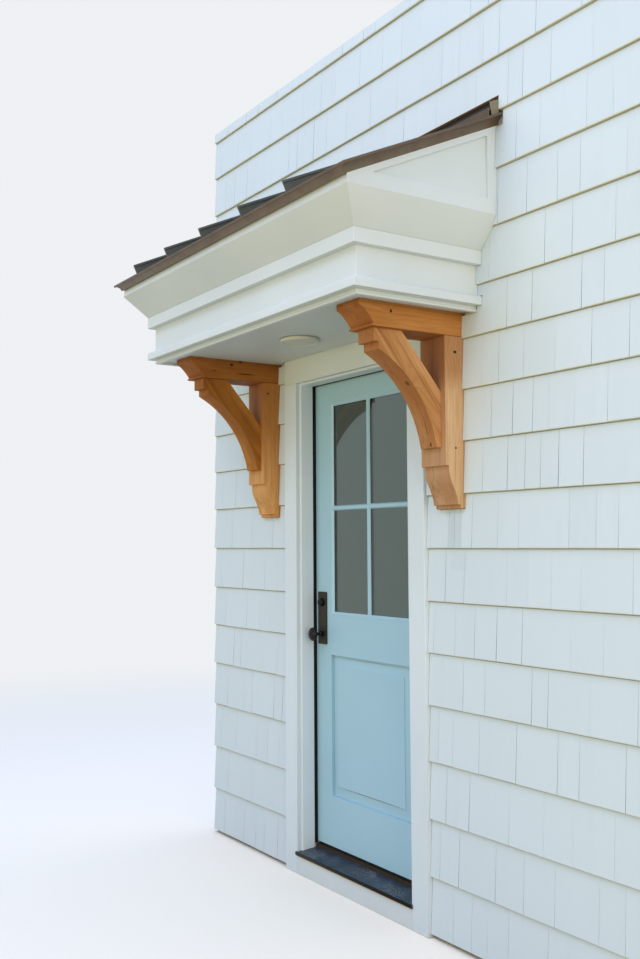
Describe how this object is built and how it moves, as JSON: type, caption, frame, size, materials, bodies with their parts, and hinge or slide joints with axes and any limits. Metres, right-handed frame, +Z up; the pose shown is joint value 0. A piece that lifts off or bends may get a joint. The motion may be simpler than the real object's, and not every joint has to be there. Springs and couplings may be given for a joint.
{
  "type": "entrance porch",
  "caption": "Shallow canopy with a standing-seam metal roof on timber brackets over a glazed, panelled entrance door, with the shingled wall bay that carries it.",
  "frame": {"origin": "under the middle of the door, on the underside of the foundation strip, mid-thickness of the wall, at ground level", "axes": "+Z up, +X along the wall to the right seen from outdoors, -Y outdoors, +Y into the room"},
  "size_m": [2.78, 0.8918, 3.6],
  "materials": {
    "wall_paint": "painted, matte",
    "shingles": "painted shingles, matte",
    "trim_paint": "painted, satin",
    "door_paint": "painted, satin",
    "cedar": "oiled, satin",
    "raw_timber": "sawn",
    "bronze_metal": "satin",
    "dark_bronze": "oil-rubbed, satin",
    "slate_metal": "satin",
    "glass": "clear",
    "rubber": "matte",
    "light_plastic": "satin",
    "concrete": "cast, rough"
  },
  "bodies": {
    "wall": {"foundation": "concrete", "wall_left": "wall_paint", "wall_right": "wall_paint", "wall_over_door": "wall_paint", "siding_left": "shingles", "siding_right": "shingles", "siding_over_door": "shingles", "casing_left": "trim_paint", "casing_right": "trim_paint", "header_board": "trim_paint", "threshold_skirt": "trim_paint", "inside_casing": "trim_paint", "door_frame": "trim_paint", "soffit": "trim_paint", "bed_moulding": "trim_paint", "lower_band": "trim_paint", "frieze": "trim_paint", "fascia_band": "trim_paint", "crown": "trim_paint", "eave_board": "trim_paint", "cheek_left": "trim_paint", "cheek_right": "trim_paint", "weatherstrip": "rubber", "threshold": "slate_metal", "hinges_on_frame": "dark_bronze", "canopy_frame": "raw_timber", "roof_deck": "raw_timber", "soffit_light": "light_plastic", "roof_metal": "bronze_metal", "eave_trim": "bronze_metal", "rake_trims": "bronze_metal", "wall_flashing": "bronze_metal", "bracket_left_post": "cedar", "bracket_left_beam": "cedar", "bracket_left_brace": "cedar", "bracket_right_post": "cedar", "bracket_right_beam": "cedar", "bracket_right_brace": "cedar"},
    "door": {"door_leaf": "door_paint", "door_panel": "door_paint", "door_glass": "glass", "glazing_bars": "door_paint", "door_sweep": "rubber", "handle_plates": "dark_bronze", "deadbolt": "dark_bronze", "hinges_on_door": "dark_bronze"},
    "knob": {"door_knob": "dark_bronze"}
  },
  "joints": [
    {"name": "door_hinge", "type": "hinge", "parent": "wall", "child": "door", "pos_m": [0.409, 0.065, 1.147], "axis": [0, 0, -1], "range_deg": [0, 110]},
    {"name": "knob_turn", "type": "hinge", "parent": "door", "child": "knob", "pos_m": [-0.3465, 0.036, 1.048], "axis": [0, 1, 0], "range_deg": [-60, 60], "stiffness_Nm_per_rad": 0.5}
  ]
}
